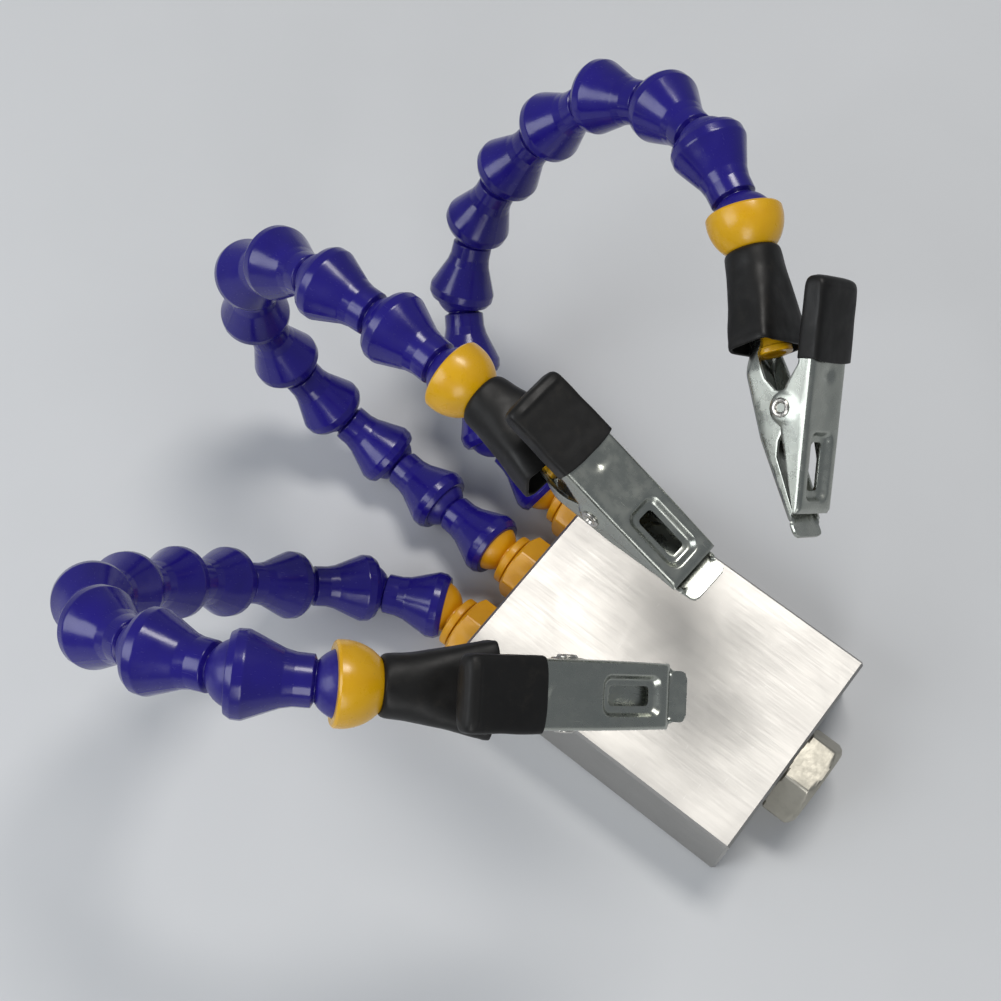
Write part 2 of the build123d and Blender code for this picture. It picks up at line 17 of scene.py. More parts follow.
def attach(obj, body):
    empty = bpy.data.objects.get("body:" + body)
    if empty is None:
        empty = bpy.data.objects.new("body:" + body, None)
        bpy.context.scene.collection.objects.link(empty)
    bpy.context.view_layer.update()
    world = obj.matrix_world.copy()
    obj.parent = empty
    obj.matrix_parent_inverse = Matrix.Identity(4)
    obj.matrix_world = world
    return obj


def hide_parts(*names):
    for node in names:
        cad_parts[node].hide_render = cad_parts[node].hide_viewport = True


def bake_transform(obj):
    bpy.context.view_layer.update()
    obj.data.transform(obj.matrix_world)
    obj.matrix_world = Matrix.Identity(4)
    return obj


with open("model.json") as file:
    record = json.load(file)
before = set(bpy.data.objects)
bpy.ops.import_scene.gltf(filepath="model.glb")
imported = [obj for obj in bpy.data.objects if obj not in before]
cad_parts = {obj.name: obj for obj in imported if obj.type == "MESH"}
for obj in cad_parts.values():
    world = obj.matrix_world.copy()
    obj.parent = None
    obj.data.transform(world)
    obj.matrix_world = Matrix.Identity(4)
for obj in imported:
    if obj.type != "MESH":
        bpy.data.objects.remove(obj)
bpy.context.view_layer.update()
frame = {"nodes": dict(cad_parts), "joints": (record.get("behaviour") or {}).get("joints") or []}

MM = 0.001
SIDES = ("left", "middle", "right")

# ---------------------------------------------------------------- sizes, in millimetres
BLOCK_LENGTH = 70.0
LINKS_PER_ARM = 10
PITCH = 17.0
BALL_RADIUS = 6.0
SOCKET_RADIUS = 6.05
LIP_DEPTH = 2.2
LIP_RADIUS = sqrt(SOCKET_RADIUS**2 - LIP_DEPTH**2)
NECK_RADIUS = 3.5
NECK_BACK = sqrt(BALL_RADIUS**2 - NECK_RADIUS**2)
BALL_FRONT = 4.0
BORE_RADIUS = 3.0
LIP_EDGE = 0.08         # the width of the edge between a socket and its mouth
TUBE_RADIUS = 3.2
TUBE_BORE_RADIUS = 2.1
TUBE_END = 25.6
RIM_START = 24.4
RIM_RADIUS = 3.45
SEAM_HEIGHT = 0.04
SEAM_WIDTH = 1.3        # degrees

# Where a ball's or a socket's arc starts and ends, in degrees from the arm's axis.
BALL_NECK_ANGLE = degrees(pi - asin(NECK_RADIUS / BALL_RADIUS))
BALL_FRONT_ANGLE = degrees(asin(sqrt(BALL_RADIUS**2 - BALL_FRONT**2) / BALL_RADIUS))
SOCKET_LIP_ANGLE = degrees(pi - asin(LIP_RADIUS / SOCKET_RADIUS))
LINK_SOCKET_ANGLE = degrees(asin(4.6 / SOCKET_RADIUS))
NOZZLE_SOCKET_ANGLE = degrees(asin(TUBE_BORE_RADIUS / SOCKET_RADIUS))

HEX_ACROSS_FLATS = 14.0
HEX_BACK = 13.0
HEX_FRONT = 8.0
HEX_BREAK = 28.6        # degrees from the middle of a flat to its broken corner
BOLT_ACROSS_FLATS = 19.0
BOLT_HEAD_LENGTH = 7.5

PIVOT_X = 36.6
PIVOT_Z = 2.4
METAL = 0.7
RIM_BEVEL = 0.13
MINIMUM_WALL = 0.25
EAR_RADIUS = 3.4
UPPER_WIDTH = 11.6
LOWER_WIDTH = 9.6
TAIL_WIDTH = 8.0
UPPER_TILT = 21.0
PLATE_TOP = 5.6
STEP = 0.375            # spacing of the cross-sections along a jaw
PIN_LENGTH = 11.8
SPRING_RADIUS = 2.3
SPRING_WIRE_RADIUS = 0.4
SPRING_PITCH = 1.05
LOWER_LEG_SLOPE = 24.0  # degrees between each leg of the spring and the clip's axis
UPPER_LEG_SLOPE = 34.0
SPRING_TURNS = 4 + (180 - LOWER_LEG_SLOPE - UPPER_LEG_SLOPE) / 360
SPRING_LENGTH = SPRING_PITCH * SPRING_TURNS
LEG_LENGTH = 7.0


# ---------------------------------------------------------------- outlines
def arc(centre_x, radius, start, end, steps, centre_r=0.0):
    """Points (x, r) on a circle about a centre, from one angle to another, in degrees."""
    points = []
    for i in range(steps + 1):
        angle = radians(start + (end - start) * i / steps)
        points.append((centre_x + radius * cos(angle), centre_r + radius * sin(angle)))
    return points


def rounded(corners, steps=6):
    """An open line through corners (x, r, radius), each rounded to its radius where it has one."""
    points = []
    for i, (x, r, *rest) in enumerate(corners):
        here = Vector((x, r))
        radius = rest[0] if rest else 0
        if radius == 0 or i in (0, len(corners) - 1):
            points.append((x, r))
            continue
        back = Vector(corners[i - 1][:2]) - here
        ahead = Vector(corners[i + 1][:2]) - here
        half = back.angle(ahead) / 2
        trim = min(radius / tan(half), 0.48 * back.length, 0.48 * ahead.length)
        start = here + back.normalized() * trim
        end = here + ahead.normalized() * trim
        for k in range(steps + 1):
            t = k / steps
            point = start * (1 - t) ** 2 + here * (2 * t * (1 - t)) + end * t**2
            points.append((point.x, point.y))
    return points


def between(x, table):
    """The height at x of a line through the points (x, height) of a table."""
    if x <= table[0][0]:
        return table[0][1]
    for (x0, y0), (x1, y1) in zip(table, table[1:]):
        if x <= x1:
            return y0 + (y1 - y0) * (x - x0) / (x1 - x0)
    return table[-1][1]


def curve(x, table):
    """The height at x of a smooth curve through the points (x, height) of a table."""
    last = len(table) - 1
    i = 0
    while i < last - 1 and x > table[i + 1][0]:
        i += 1
    (x0, y0), (x1, y1) = table[i], table[i + 1]

    def slope(k):
        before = table[max(k - 1, 0)]
        after = table[min(k + 1, last)]
        return (after[1] - before[1]) / (after[0] - before[0])

    span = x1 - x0
    t = min(max((x - x0) / span, 0.0), 1.0)
    rise = smooth(t)
    return y0 * (1 - rise) + y1 * rise + span * t * (1 - t) * ((1 - t) * slope(i) - t * slope(i + 1))


def smooth(t):
    """A step from 0 to 1 with soft ends."""
    t = min(max(t, 0.0), 1.0)
    return t * t * (3 - 2 * t)


def bell(distance, width):
    """A bump of height 1 that fades over this width."""
    return exp(-((distance / width) ** 2))


# ---------------------------------------------------------------- meshes
def make_mesh(name, points, faces, sharp=35.0):
    """A mesh from points in millimetres, smooth except where it turns by more than the sharp angle."""
    mesh = bpy.data.meshes.new(name)
    mesh.from_pydata([Vector(p) * MM for p in points], [], faces)
    mesh.validate()
    mesh.update()
    mesh.shade_smooth()
    mesh.set_sharp_from_angle(angle=radians(sharp))
    return mesh


def ring_faces(rings, count, closed=False):
    """Quads between one ring of points and the next, and from the last back to the first if closed."""
    faces = []
    last = rings if closed else rings - 1
    for i in range(last):
        a = i * count
        b = ((i + 1) % rings) * count
        for j in range(count):
            k = (j + 1) % count
            faces.append((a + j, a + k, b + k, b + j))
    return faces


def end_faces(total, count):
    """The faces that close the first and the last ring of points."""
    return [tuple(reversed(range(count))), tuple(range(total - count, total))]


def lathe(name, outline, angles, radius_at=None, closed=True, capped=False, sharp=35.0):
    """Turns an outline of (x, r) about X. radius_at changes the radius with the angle, in degrees."""
    points = []
    for x, r in outline:
        for angle in angles:
            radius = radius_at(x, r, angle) if radius_at else r
            points.append((x, radius * cos(radians(angle)), radius * sin(radians(angle))))
    faces = ring_faces(len(outline), len(angles), closed)
    if capped:
        faces += end_faces(len(points), len(angles))
    return make_mesh(name, points, faces, sharp)


def even_angles(count):
    """Angles all round, in degrees."""
    return [360 * i / count for i in range(count)]


def seam_angles(count):
    """Angles all round, with more of them at the two mould seams, at 0 and 180 degrees."""
    angles = set(even_angles(count))
    for seam in (0, 180):
        for offset in (-2.4, -1.2, 1.2, 2.4):
            angles.add((seam + offset) % 360)
    return sorted(angles)


def hex_angles(first_flat):
    """Angles round a hexagon, close together at its corners. The first flat faces first_flat."""
    offsets = (-30.0, -HEX_BREAK, -27.0, -20.0, -10.0, 0.0, 10.0, 20.0, 27.0, HEX_BREAK)
    return sorted((first_flat + 60 * side + offset) % 360 for side in range(6) for offset in offsets)


def hex_radius(across_flats, first_flat, angle):
    """The radius of a hexagon with slightly broken corners."""
    offset = (angle - first_flat + 30) % 60 - 30
    return across_flats / 2 / cos(radians(min(abs(offset), HEX_BREAK)))


def applied(piece):
    """The mesh of a piece with its modifiers applied."""
    graph = bpy.context.evaluated_depsgraph_get()
    return bpy.data.meshes.new_from_object(piece.evaluated_get(graph))


def as_object(name, mesh, place=None):
    """A mesh as an object of the scene, at a place."""
    piece = bpy.data.objects.new(name, mesh)
    bpy.context.scene.collection.objects.link(piece)
    if place is not None:
        piece.matrix_world = place
    return piece


def sheet_metal(name, points, faces):
    """Folded sheet: an outer skin, thickened inwards by the metal's thickness, with a bevel at its rims.

    The mesh's shortest edges hold the bevel to a few micrometres, so it changes the shading more than the
    shape.
    """
    piece = as_object(name, make_mesh(name, points, faces))
    solid = piece.modifiers.new("thickness", "SOLIDIFY")
    solid.thickness = METAL * MM
    solid.offset = -1
    bevel = piece.modifiers.new("edges", "BEVEL")
    bevel.width = RIM_BEVEL * MM
    bevel.segments = 2
    bevel.limit_method = "ANGLE"
    bevel.angle_limit = radians(50)
    mesh = applied(piece)
    mesh.shade_smooth()
    mesh.set_sharp_from_angle(angle=radians(40))
    bpy.data.objects.remove(piece)
    return mesh


# ---------------------------------------------------------------- hose
def link_mesh():
    """A hose link: socket with a lipped mouth, bell, cone, collar, neck and ball."""
    outside = rounded([
        (-LIP_DEPTH, LIP_RADIUS + LIP_EDGE),
        (-LIP_DEPTH, 6.7, 0.3),
        (-1.0, 7.42, 0.3),
        (0.7, 7.5, 1.3),
        (6.8, 4.9, 2.6),
        (8.7, 4.5, 0.9),
        (11.6, 4.45, 0.3),
        (12.05, NECK_RADIUS, 0.1),
        (PITCH - NECK_BACK, NECK_RADIUS),
    ])
    ball = arc(PITCH, BALL_RADIUS, BALL_NECK_ANGLE, BALL_FRONT_ANGLE, 16)[1:]
    inside = [
        (PITCH + BALL_FRONT, BORE_RADIUS + 0.5),
        (PITCH + BALL_FRONT - 0.5, BORE_RADIUS),
        (8.0, BORE_RADIUS),
    ]
    socket = arc(0, SOCKET_RADIUS, LINK_SOCKET_ANGLE, SOCKET_LIP_ANGLE, 8)

    def radius_at(x, r, angle):
        on_skin = r > BORE_RADIUS + 1 and -LIP_DEPTH < x < 11.5
        seam = min(angle % 180, 180 - angle % 180)
        return r + SEAM_HEIGHT * bell(seam, SEAM_WIDTH) if on_skin else r

    return lathe("link", outside + ball + inside + socket, seam_angles(64), radius_at, sharp=28.0)


def nozzle_mesh():
    """The cup that ends the hose, and the tube and rim that carry the clip."""
    mouth = rounded([
        (-LIP_DEPTH, LIP_RADIUS + LIP_EDGE),
        (-LIP_DEPTH, 6.85, 0.45),
        (-1.75, 7.22, 0.25),
        (-1.4, 7.24),
    ])
    dome = arc(-0.78, 8.46, 93.5, 36.0, 26, -1.2)
    tube = rounded([
        dome[-1],
        (6.75, TUBE_RADIUS, 0.5),
        (RIM_START, TUBE_RADIUS, 0.1),
        (RIM_START, RIM_RADIUS, 0.1),
        (TUBE_END, RIM_RADIUS, 0.25),
        (TUBE_END, TUBE_BORE_RADIUS, 0.25),
        (sqrt(SOCKET_RADIUS**2 - TUBE_BORE_RADIUS**2), TUBE_BORE_RADIUS),
    ])
    socket = arc(0, SOCKET_RADIUS, NOZZLE_SOCKET_ANGLE, SOCKET_LIP_ANGLE, 12)[1:]
    return lathe("nozzle", mouth + dome + tube[1:] + socket, seam_angles(72), sharp=28.0)


def fitting_mesh():
    """A base fitting: shank, hex with a turned front, waist, flange and ball."""
    corner = HEX_ACROSS_FLATS / sqrt(3)
    hexagon = [(-HEX_BACK, corner - 0.9), (-HEX_BACK + 0.35, corner)]
    for k in range(5):
        hexagon.append((-HEX_FRONT - 0.8 * (1 - k / 4), corner - 1.2 * k / 4))
    outside = rounded([
        (-HEX_FRONT, 5.6),
        (-HEX_FRONT, 4.6, 0.2),
        (-7.5, 4.6, 0.2),
        (-7.5, 6.0, 0.45),
        (-5.6, 6.0, 0.45),
        (-5.6, NECK_RADIUS, 0.3),
        (-NECK_BACK, NECK_RADIUS),
    ])
    ball = arc(0, BALL_RADIUS, BALL_NECK_ANGLE, BALL_FRONT_ANGLE, 16)[1:]
    inside = [(BALL_FRONT, BORE_RADIUS + 0.4), (BALL_FRONT - 0.4, BORE_RADIUS)]
    shank = [(-22.0, BORE_RADIUS), (-22.0, 4.1), (-21.2, 4.85), (-HEX_BACK, 4.85)]
    angles = hex_angles(0)

    def radius_at(x, r, angle):
        on_hex = r > 6.5
        return min(r, hex_radius(HEX_ACROSS_FLATS, 0, angle)) if on_hex else r

    return lathe("fitting", hexagon + outside + ball + inside + shank, angles, radius_at, sharp=28.0)


def bolt_mesh():
    """The hex bolt: a head with a turned, slightly dished top, and its shank."""
    corner = BOLT_ACROSS_FLATS / sqrt(3)
    top = BOLT_HEAD_LENGTH
    outline = [(-18.0, 5.2), (-17.3, 5.95), (0, 5.95), (0, 9.6), (0.12, 10.1), (0.5, corner)]
    for k in range(7):
        outline.append((top - 1.6 * (1 - k / 6), corner - 2.2 * (k / 6) ** 1.2))
    outline += [(top, 8.5), (top - 0.04, 7.9), (top - 0.3, 7.4), (top - 0.34, 6.9), (top - 0.36, 3.0)]

    def radius_at(x, r, angle):
        on_head = r > 8.6
        return min(r, hex_radius(BOLT_ACROSS_FLATS, 30, angle)) if on_head else r

    return lathe("bolt", outline, hex_angles(30), radius_at, closed=False, capped=True, sharp=28.0)


# ---------------------------------------------------------------- clip
def fold_section(x, width, fold, turn, flat_height, edge_height, counts):
    """Points across a folded sheet at x: a flat between two folds, and a wall beyond each.

    The flat lies at flat_height and the walls' edges at edge_height. turn is the angle of the folds.
    """
    flats, folds, walls = counts
    turn = max(turn, 0.02)
    radius = fold * pi / 2 / turn
    direction = 1 if edge_height > flat_height else -1
    wall = max(abs(edge_height - flat_height) - radius * (1 - cos(turn)), MINIMUM_WALL)
    half = width / 2 - fold
    side = []
    for k in range(1, folds + 1):
        angle = turn * k / folds
        side.append((half + radius * sin(angle), radius * (1 - cos(angle))))
    y0, z0 = side[-1]
    for k in range(1, walls + 1):
        reach = wall * k / walls
        side.append((y0 + reach * cos(turn), z0 + reach * sin(turn)))
    flat = [(-half + 2 * half * k / flats, 0.0) for k in range(flats + 1)]
    across = [(-y, z) for y, z in reversed(side)] + flat + side
    return [(x, y, flat_height + direction * z) for y, z in across]


def rounded_rectangle_point(u, v, half_x, half_y, corner):
    """The point of a rounded rectangle that stands for the point (u, v) of a square's edge."""
    def run(s, reach, other):
        way = abs(s) * (reach - corner + corner * pi / 4)
        if way <= reach - corner:
            return way, other
        angle = (way - reach + corner) / corner
        return reach - corner + corner * sin(angle), other - corner + corner * cos(angle)

    if abs(v) > 0.9999:
        x, y = run(u, half_x, half_y)
    else:
        y, x = run(v, half_y, half_x)
    return (x if u > 0 else -x), (y if v > 0 else -y)


UPPER_COUNTS = (14, 5, 7)
GRIP_START = 8.0
UPPER_START = GRIP_START - 83 * STEP
UPPER_TIP = GRIP_START + 28 * STEP
WINDOW_START = GRIP_START - 13 * STEP
WINDOW_CELLS = 37
WINDOW_END = WINDOW_START + WINDOW_CELLS * STEP
WINDOW_STEPS = (0.0, 0.06, 0.13, 0.22, 0.32, 0.43, 0.54, 0.66, 0.8, 0.92, 1.0)
WINDOW_RIM = (6.6, 3.8, 2.0)      # half length, half width and corner of the pressed tray
WINDOW_OPENING = (4.4, 1.7, 0.8)  # the same of the opening in it
FOLD = 0.9              # the outer radius of a fold


def upper_edge(x):
    """The height of the upper jaw's lower edge: handle, ear round the pin, and gripping edge."""
    base = between(x, [(-24.0, 3.1), (-8.0, 2.5), (-4.0, 0.4), (4.0, 0.3), (8.0, 1.5), (18.6, 4.35)])
    if abs(x) < EAR_RADIUS:
        base = min(base, 1.1 - sqrt(EAR_RADIUS**2 - x**2))
    return base


def plate_shape(x, y):
    """How far the upper plate is pressed out of flat: a dimple by the boot, waves, and a bent tip."""
    dimple = -0.5 * bell(sqrt((x + 6.6) ** 2 + y**2), 1.2)
    wave = -0.2 * bell(x + 1.2, 4.5) * bell(y, 3.4)
    uneven = 0.03 * noise.noise(Vector((x * 0.4, y * 0.35, 2.0)))
    tip = -0.45 * smooth((x - UPPER_TIP + 0.9) / 0.9)
    return dimple + wave + uneven + tip


def ear_boss(distance):
    """How far a jaw's side is pressed out at this distance from the pin."""
    return 0.22 * smooth((3.2 - distance) / 0.9)


def window_ring(t, square):
    """One ring of the pressed window, from its rim at t = 0 to the edge of its opening at t = 1."""
    centre = (WINDOW_START + WINDOW_END) / 2
    depth = -1.1 * smooth(t / 0.62) - 0.12 * smooth((t - 0.75) / 0.25)
    sizes = [rim + (opening - rim) * t for rim, opening in zip(WINDOW_RIM, WINDOW_OPENING)]
    ring = []
    for u, v in square:
        x, y = rounded_rectangle_point(u, v, *sizes)
        ring.append((centre + x, y, PLATE_TOP + depth + plate_shape(centre + x, y) * (1 - t)))
    return ring


def upper_jaw_mesh():
    """The upper jaw: a folded plate with ears, a dimple, and a window pressed in."""
    flats, folds, walls = UPPER_COUNTS
    side = folds + walls
    width = flats + 1 + 2 * side
    rows = round((UPPER_TIP - UPPER_START) / STEP) + 1
    points = []
    for i in range(rows):
        x = UPPER_START + i * STEP
        taper = 0.7 * smooth((x - 2.0) / 30.0)
        section = fold_section(x, UPPER_WIDTH - taper, FOLD, pi / 2, PLATE_TOP, upper_edge(x), UPPER_COUNTS)
        for px, py, pz in section:
            depth = (PLATE_TOP - pz) / FOLD
            out = ear_boss(sqrt(px**2 + pz**2)) * smooth(depth - 1) * (1 if py > 0 else -1)
            points.append((px, py + out, pz + plate_shape(px, py) * smooth(1 - depth)))
    first = round((WINDOW_START - UPPER_START) / STEP)
    faces = []
    for i in range(rows - 1):
        for j in range(width - 1):
            in_window = first <= i < first + WINDOW_CELLS and side <= j < side + flats
            if not in_window:
                a = i * width + j
                faces.append((a, a + width, a + width + 1, a + 1))
    loop = [(first + k, side) for k in range(WINDOW_CELLS)]
    loop += [(first + WINDOW_CELLS, side + k) for k in range(flats)]
    loop += [(first + WINDOW_CELLS - k, side + flats) for k in range(WINDOW_CELLS)]
    loop += [(first, side + flats - k) for k in range(flats)]
    previous = [i * width + j for i, j in loop]
    square = [(2 * (i - first) / WINDOW_CELLS - 1, 2 * (j - side) / flats - 1) for i, j in loop]
    for t in WINDOW_STEPS:
        start = len(points)
        points += window_ring(t, square)
        ring = list(range(start, start + len(loop)))
        for k in range(len(loop)):
            n = (k + 1) % len(loop)
            faces.append((previous[k], previous[n], ring[n], ring[k]))
        previous = ring
    return sheet_metal("upper_jaw", points, faces)


LOWER_COUNTS = (8, 6, 6)
LOWER_START = 9.0
LOWER_TIP = LOWER_START + 135 * STEP
TONGUE_HALF_WIDTH = 4.4
TONGUE_CORNER = 1.2


def lower_edge(x):
    """The height of the lower jaw's upper edge: tail, ear round the pin, gripping edge, and tongue."""
    base = between(x, [(19.0, 1.0), (22.5, -1.2), (30.2, -0.4), (33.0, 1.2), (40.2, 1.2),
                       (42.0, -0.4), (44.6, -1.4), (55.0, -0.6), (56.4, -1.9), (60.0, -1.4)])
    if abs(x - PIVOT_X) < EAR_RADIUS:
        base = max(base, 1.3 + sqrt(EAR_RADIUS**2 - (x - PIVOT_X) ** 2))
    return base


def lower_jaw_mesh():
    """The lower jaw: a half tube round the nozzle that opens into a channel, and a flat tongue."""
    points = []
    rows = round((LOWER_TIP - LOWER_START) / STEP) + 1
    for i in range(rows):
        x = LOWER_START + i * STEP
        opening = smooth((x - 23.0) / 6.0)
        spread = smooth((x - 56.0) / 1.3)
        width = TAIL_WIDTH + (LOWER_WIDTH - TAIL_WIDTH) * opening - 2.3 * spread
        bottom = between(x, [(23.0, -4.0), (26.0, -4.2), (40.6, -4.2), (60.0, -1.6)])
        turn = pi / 2 * (1 - spread)
        section = fold_section(x, width, 3.9 - 3.0 * opening, turn, bottom, lower_edge(x), LOWER_COUNTS)
        past = max(x - (LOWER_TIP - TONGUE_CORNER), 0.0)
        trim = TONGUE_CORNER - sqrt(max(TONGUE_CORNER**2 - past**2, 0.0))
        points += [(px, py * (1 - trim / TONGUE_HALF_WIDTH), pz) for px, py, pz in section]
    width = len(points) // rows
    faces = []
    for i in range(rows - 1):
        for j in range(width - 1):
            a = i * width + j
            faces.append((a, a + 1, a + width + 1, a + width))
    return sheet_metal("lower_jaw", points, faces)


def pin_mesh():
    """The rivet: a ring of a head at each end, with a hollow in its middle. X runs along the pin."""
    half = PIN_LENGTH / 2
    head = rounded([
        (half - 0.3, 1.2),
        (half - 0.1, 1.75, 0.2),
        (half + 0.35, 1.8, 0.25),
        (half + 0.6, 1.5, 0.2),
        (half + 0.55, 1.05, 0.2),
        (half, 0.75, 0.2),
        (half - 0.1, 0.25),
    ])
    outline = [(-x, r) for x, r in reversed(head)] + head
    return lathe("pin", outline, even_angles(40), closed=False, capped=True, sharp=50.0)


def spring_path():
    """The wire of the spring, in the pin's frame: leg, coil about Y, leg."""
    start = radians(LOWER_LEG_SLOPE - 90)
    path = []
    steps = int(SPRING_TURNS * 32)
    for i in range(steps + 1):
        angle = start + 2 * pi * SPRING_TURNS * i / steps
        place = SPRING_LENGTH / 2 - SPRING_LENGTH * i / steps
        path.append(Vector((SPRING_RADIUS * cos(angle), place, SPRING_RADIUS * sin(angle))))
    before = (path[0] - path[1]).normalized()
    after = (path[-1] - path[-2]).normalized()
    lead = [path[0] + before * LEG_LENGTH * k / 8 for k in range(8, 0, -1)]
    tail = [path[-1] + after * LEG_LENGTH * k / 8 for k in range(1, 9)]
    return lead + path + tail


def wire_mesh(name, path, radius, count=12):
    """A round wire along a path, with rounded ends."""
    points = []
    normal = Vector((0, 1, 0))
    for i, point in enumerate(path):
        ahead = path[min(i + 1, len(path) - 1)] - path[max(i - 1, 0)]
        ahead.normalize()
        normal = (normal - ahead * normal.dot(ahead)).normalized()
        binormal = ahead.cross(normal)
        size = radius * (0.6 if i in (0, len(path) - 1) else 1.0)
        for k in range(count):
            angle = 2 * pi * k / count
            points.append(point + (normal * cos(angle) + binormal * sin(angle)) * size)
    faces = ring_faces(len(path), count) + end_faces(len(points), count)
    return make_mesh(name, points, faces, 60.0)


def squircle(half_width, half_height, power, count):
    """Points round a rounded box in Y and Z: power 2 is an ellipse, and more is squarer."""
    points = []
    for k in range(count):
        angle = 2 * pi * (k + 0.5) / count
        c = cos(angle)
        s = sin(angle)
        y = half_width * (1 if c > 0 else -1) * abs(c) ** (2 / power)
        z = half_height * (1 if s > 0 else -1) * abs(s) ** (2 / power)
        points.append((y, z))
    return points


def softness(x, y, z, seed, amount):
    """A small random unevenness, the same at each run."""
    return amount * noise.noise(Vector((x * 0.23 + seed, y * 0.23, z * 0.23)))


BOOT_POINTS = 112
BOOT_ROWS = 72


def boot_mesh(name, stations, shape, end_shape, wall, inner_depth, seed, dish=0.0):
    """A soft sleeve from stations, open at its far end, with its inside turned back a short way.

    A station is x, half the width, half the height, the squareness and the height of the middle. The closed
    end is hollowed by the dish, which keeps it clear of the ball in the cup behind it.
    """
    first = stations[0][0]
    last = stations[-1][0]
    rings = []
    for i in range(BOOT_ROWS + 1):
        x = first + (last - first) * (i / BOOT_ROWS) ** 1.5
        half_w, half_h, power, drop = [curve(x, [(s[0], s[c]) for s in stations]) for c in (1, 2, 3, 4)]
        ring = []
        for y, z in squircle(half_w, half_h, power, BOOT_POINTS):
            grow = 1 + shape(x, y / half_w, z / half_h) + softness(x, y, z, seed, 0.02)
            end = end_shape(y / half_w, z / half_h) * smooth((x - first) / (last - first))
            ring.append((x + end, y * grow, drop + z * grow))
        rings.append(ring)
    if dish:
        rings.insert(0, [(x + dish, 0.6 * y, 0.6 * z) for x, y, z in rings[0]])
    centre = stations[-1][4]

    def inset(ring, out, back):
        moved = []
        for x, y, z in ring:
            inward = Vector((y, z - centre)).normalized() * wall * out
            moved.append((x + back, y - inward.x, z - inward.y))
        return moved

    lip = [inset(rings[-1], out, back) for out, back in ((0.1, 0.1), (0.5, 0.18), (0.9, 0.1))]
    inside = [inset(ring, 1.0, 0.0) for ring in reversed(rings) if ring[0][0] > last - inner_depth]
    rings += lip + inside
    points = [p for ring in rings for p in ring]
    faces = ring_faces(len(rings), BOOT_POINTS) + end_faces(len(points), BOOT_POINTS)
    return make_mesh(name, points, faces, 60.0)


def lower_boot_mesh():
    """The boot over the lower jaw's tail, round at the cup and flared at its open end."""
    stations = [
        (5.5, 4.7, 4.6, 2.1, 0.0), (5.9, 5.15, 5.0, 2.1, 0.0), (6.8, 5.4, 5.1, 2.2, 0.0),
        (10.0, 5.65, 5.05, 2.5, -0.05), (14.0, 6.3, 4.95, 3.2, -0.15), (18.0, 7.05, 4.85, 4.1, -0.35),
        (22.0, 7.85, 4.75, 5.6, -0.55), (24.3, 8.2, 4.65, 6.5, -0.65),
    ]

    def shape(x, u, v):
        return 0.010 * bell(x - 23.6, 0.5) - 0.02 * bell(x - 15.0, 4.0) * bell(u, 0.5)

    def end_shape(u, v):
        return -0.35 * smooth((abs(u) - 0.7) / 0.3) + 0.3 * u

    return boot_mesh("lower_boot", stations, shape, end_shape, wall=0.75, inner_depth=9.0, seed=3.0, dish=0.8)


def upper_boot_mesh():
    """The boot over the upper jaw's handle: flat, with a soft ridge across its closed end."""
    stations = [
        (-23.9, 4.5, 0.9, 2.6, 4.15), (-23.6, 5.6, 1.75, 3.2, 4.2), (-22.9, 6.15, 2.2, 4.2, 4.25),
        (-21.5, 6.3, 2.3, 5.2, 4.25), (-15.0, 6.3, 2.3, 6.0, 4.25), (-8.7, 6.3, 2.3, 6.4, 4.25),
    ]

    def shape(x, u, v):
        top = 1 if v > 0 else 0
        ridge = 0.06 * bell(x + 22.0, 0.5) * top * smooth((0.9 - abs(u)) / 0.3)
        sag = -0.06 * bell(x + 15.5, 4.0) * top * bell(u, 0.6)
        return ridge + sag

    def end_shape(u, v):
        return -0.5 * u * u

    return boot_mesh("upper_boot", stations, shape, end_shape, wall=0.35, inner_depth=8.0, seed=11.0)


